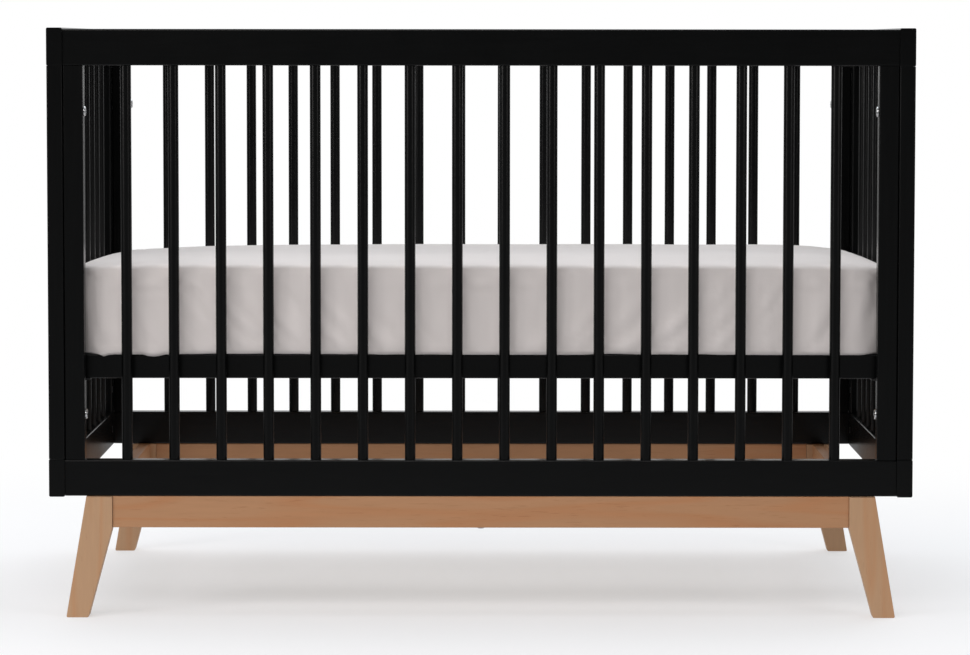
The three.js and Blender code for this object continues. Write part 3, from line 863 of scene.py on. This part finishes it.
# %% Sheet before it settles
SHEET_STEP = 9 * MM
HEM = 70 * MM
SLACK = 0.010
sheet_low = mattress_low[2] + 0.4 * MM
sheet_high = core_high + 1.5 * MM
lines = [even_lines(-sheet_half[0], sheet_half[0], SHEET_STEP),
         even_lines(-sheet_half[1], sheet_half[1], SHEET_STEP),
         even_lines(sheet_low, sheet_high, SHEET_STEP)]
flat_points, sheet_quads = box_surface(lines)
corners_of = flat_points[sheet_quads]
underneath = (corners_of[:, :, 2] < sheet_low + 1e-6).all(axis=1)
centre_of = np.abs(corners_of.mean(axis=1)[:, :2])
cut_away = underneath & (centre_of < sheet_half - HEM).all(axis=1)
sheet_quads = sheet_quads[~cut_away]
used, sheet_quads = np.unique(sheet_quads, return_inverse=True)
sheet_quads = sheet_quads.reshape(-1, 4)
flat_points = flat_points[used]
sheet_points = soft_block(flat_points, sheet_half, sheet_low, sheet_high, EDGES_SOFT)
sheet = new_object("fitted_sheet", sheet_points, sheet_quads.tolist())
sheet.data.materials.append(sheet_cloth)
print("sheet", len(sheet_points), "points,", len(sheet_quads), "faces")


# %% [markdown]
# ## Letting the sheet settle
# The cloth solver drapes the slightly slack sheet over the foam. The hem is held, as its
# elastic holds it. The result is read back into the mesh, and no point may end up further
# than a few millimetres from where the formula put it, so the sheet stays clear of the crib.
# Near the front left corner two small scallops of the sheet's lower edge hang over the
# support rail.

# %% Cloth simulation
SETTLE_FRAMES = 24
CONTACT = 0.0012
MOST_MOVE = 7 * MM
SAG = 0.8 * MM
SCALLOPS = (-0.605, -0.521)
SCALLOP_WIDTH = 12 * MM
SCALLOP_DROP = 3.2 * MM
SCALLOP_HEIGHT = 12 * MM
SCALLOP_OUT = 1.5 * MM


def settle(cloth_piece, held, block):
    """Runs the cloth over the block and returns the settled points."""
    group = cloth_piece.vertex_groups.new(name="hem")
    group.add(held.tolist(), 1.0, "REPLACE")
    block.modifiers.new("solid", "COLLISION")
    block.collision.thickness_outer = CONTACT
    block.collision.cloth_friction = 12
    solver = cloth_piece.modifiers.new("cloth", "CLOTH")
    solver.settings.quality = 7
    solver.settings.mass = 0.18
    solver.settings.tension_stiffness = 20
    solver.settings.compression_stiffness = 20
    solver.settings.shear_stiffness = 8
    solver.settings.bending_stiffness = 0.35
    solver.settings.air_damping = 2
    solver.settings.vertex_group_mass = "hem"
    solver.settings.shrink_min = -SLACK
    solver.collision_settings.distance_min = CONTACT
    solver.point_cache.frame_start = 1
    solver.point_cache.frame_end = SETTLE_FRAMES
    for step in range(1, SETTLE_FRAMES + 1):
        bpy.context.scene.frame_set(step)
    settled = cloth_piece.evaluated_get(bpy.context.evaluated_depsgraph_get())
    found = np.empty(len(cloth_piece.data.vertices) * 3)
    settled.data.vertices.foreach_get("co", found)
    cloth_piece.modifiers.remove(solver)
    block.modifiers.remove(block.modifiers["solid"])
    bpy.context.scene.frame_set(1)
    return found.reshape(-1, 3)


under_hem = np.flatnonzero(sheet_points[:, 2] < sheet_low + 1 * MM)
move = settle(sheet, under_hem, core) - sheet_points
length = np.linalg.norm(move, axis=1, keepdims=True)
sheet_points = sheet_points + move * np.minimum(1, MOST_MOVE / np.maximum(length, 1e-9))
sheet_points[:, 2] = np.maximum(sheet_points[:, 2], sheet_low - SAG)
for x in SCALLOPS:
    near = np.exp(-((sheet_points[:, 0] - x) / SCALLOP_WIDTH) ** 4)
    near *= np.exp(-((sheet_points[:, 2] - sheet_low) / SCALLOP_HEIGHT) ** 2)
    near *= sheet_points[:, 1] < -sheet_half[1] + 4 * MM
    sheet_points[:, 2] -= SCALLOP_DROP * near
    sheet_points[:, 1] -= SCALLOP_OUT * near
sheet.data.vertices.foreach_set("co", sheet_points.ravel())
sheet.data.update()
print("the sheet moved", round(float(length.mean()) * 1000, 2), "mm on average and",
      round(float(length.max()) * 1000, 2), "mm at most")

# %% Sheet thickness, and sheet and mattress on their body
solid = sheet.modifiers.new("cloth_thickness", "SOLIDIFY")
solid.thickness = 0.6 * MM
solid.offset = 0
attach(sheet, MATTRESS)
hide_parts("mattress")
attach(core, MATTRESS)
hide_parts("mattress")

# %% [markdown]
# ## Floor and light
# The crib stands on a pale seamless floor. A broad soft light hangs overhead and a second
# one high in front. A softbox stands to the left and a weaker one to the right, so each
# round slat carries a line of light. The room in front is dim, which is what keeps the
# black paint black.

# %% Floor
FLOOR_HALF = 60
FLOOR_GLOW = 0.44
SWEEP_BOUNCE = 0.33
floor_points = np.array([[-1, -1, 0], [1, -1, 0], [1, 1, 0], [-1, 1, 0]]) * [FLOOR_HALF, FLOOR_HALF, 0]
floor = new_object("studio_floor", floor_points, [[0, 1, 2, 3]])
floor_finish, floor_shader = finish_base("pale_floor", Roughness=0.85, Specular_IOR_Level=0.0)
floor_links = floor_finish.node_tree.links
floor_tone = noise(floor_finish, grain_space(floor_finish, (1, 1, 1)), 0.6, 2)
floor_colour = ramp(floor_finish, floor_tone,
                    [(0.3, (0.495, 0.50, 0.52)), (0.7, (0.525, 0.53, 0.55))])
floor_links.new(floor_colour, floor_shader.inputs["Base Color"])
floor_shader.inputs["Emission Color"].default_value = (1, 1, 1, 1)
floor_shader.inputs["Emission Strength"].default_value = FLOOR_GLOW

sweep_white = node(floor_finish, "ShaderNodeEmission", Strength=1.0)
sweep_dim = node(floor_finish, "ShaderNodeEmission", Strength=SWEEP_BOUNCE)
seen = node(floor_finish, "ShaderNodeLightPath")
sweep = node(floor_finish, "ShaderNodeMixShader")
floor_links.new(seen.outputs["Is Camera Ray"], sweep.inputs["Fac"])
floor_links.new(sweep_dim.outputs["Emission"], sweep.inputs[1])
floor_links.new(sweep_white.outputs["Emission"], sweep.inputs[2])
rim = node(floor_finish, "ShaderNodeTexGradient", gradient_type="SPHERICAL")
floor_links.new(grain_space(floor_finish, (0.25, 0.37, 0.25)), rim.inputs["Vector"])
near = node(floor_finish, "ShaderNodeMapRange", From_Min=0.30, From_Max=0.92,
            interpolation_type="SMOOTHSTEP")
floor_links.new(rim.outputs["Fac"], near.inputs["Value"])
blend = node(floor_finish, "ShaderNodeMixShader")
floor_links.new(near.outputs["Result"], blend.inputs["Fac"])
floor_links.new(sweep.outputs["Shader"], blend.inputs[1])
floor_links.new(floor_shader.outputs["BSDF"], blend.inputs[2])
floor_output = floor_finish.node_tree.nodes["Material Output"]
floor_links.new(blend.outputs["Shader"], floor_output.inputs["Surface"])
floor.data.materials.append(floor_finish)

# %% Lights
def softbox(name, place, aim, size, power, colour=(1, 1, 1)):
    """A rectangular light at place that faces aim, size (width, height) in metres."""
    data = bpy.data.lights.new(name, "AREA")
    data.shape = "RECTANGLE"
    data.size, data.size_y = size
    data.energy = power
    data.color = colour
    lamp = bpy.data.objects.new(name, data)
    bpy.context.scene.collection.objects.link(lamp)
    lamp.location = place
    way = np.array(aim, float) - np.array(place, float)
    lamp.rotation_euler = (
        math.acos(-way[2] / np.linalg.norm(way)), 0, math.atan2(way[0], -way[1]) + math.pi,
    )
    lamp.visible_camera = False
    return lamp


COOL = (0.92, 0.965, 1.0)
WARM = (1.0, 0.962, 0.945)
softbox("overhead", (0.4, 1.6, 4.2), (0, 0.2, 0), (6, 7.5), 202, COOL)
softbox("front_top", (-1.2, -4.4, 3.3), (0, 0, 0.45), (3.6, 1.8), 104, WARM)
softbox("left_key", (-4.0, -3.1, 2.0), (0, 0, 0.5), (1.8, 2.4), 80, WARM)
softbox("right_fill", (4.0, -3.3, 2.0), (0, 0, 0.5), (1.8, 2.4), 42, WARM)

# %% [markdown]
# The surroundings are a white sweep behind the crib and a dim room in front of it. The
# bright sweep is what edges the round slats and the inner faces of the stiles with light,
# and the dim room is what the flat black faces reflect. Where the camera looks past the
# crib it meets plain white, from every side, which the world's Light Path node arranges.

# %% Surroundings
SWEEP_LIGHT = 1.05
ROOM_LIGHT = 0.04
world = bpy.data.worlds.new("studio")
bpy.context.scene.world = world
world.use_nodes = True
tree = world.node_tree
backdrop = tree.nodes["Background"]
backdrop.inputs["Color"].default_value = (1, 1, 1, 1)
backdrop.inputs["Strength"].default_value = 1.0
way = tree.nodes.new("ShaderNodeTexCoord")
axes = tree.nodes.new("ShaderNodeSeparateXYZ")
tree.links.new(way.outputs["Generated"], axes.inputs["Vector"])
level = tree.nodes.new("ShaderNodeMapRange")
level.interpolation_type = "SMOOTHSTEP"
level.inputs["From Min"].default_value = -0.1
level.inputs["From Max"].default_value = 0.8
level.inputs["To Min"].default_value = ROOM_LIGHT
level.inputs["To Max"].default_value = SWEEP_LIGHT
tree.links.new(axes.outputs["Y"], level.inputs["Value"])
studio = tree.nodes.new("ShaderNodeBackground")
tree.links.new(level.outputs["Result"], studio.inputs["Strength"])
path = tree.nodes.new("ShaderNodeLightPath")
either = tree.nodes.new("ShaderNodeMixShader")
tree.links.new(path.outputs["Is Camera Ray"], either.inputs["Fac"])
tree.links.new(studio.outputs["Background"], either.inputs[1])
tree.links.new(backdrop.outputs["Background"], either.inputs[2])
tree.links.new(either.outputs["Shader"], tree.nodes["World Output"].inputs["Surface"])
bpy.context.scene.view_settings.view_transform = "Standard"
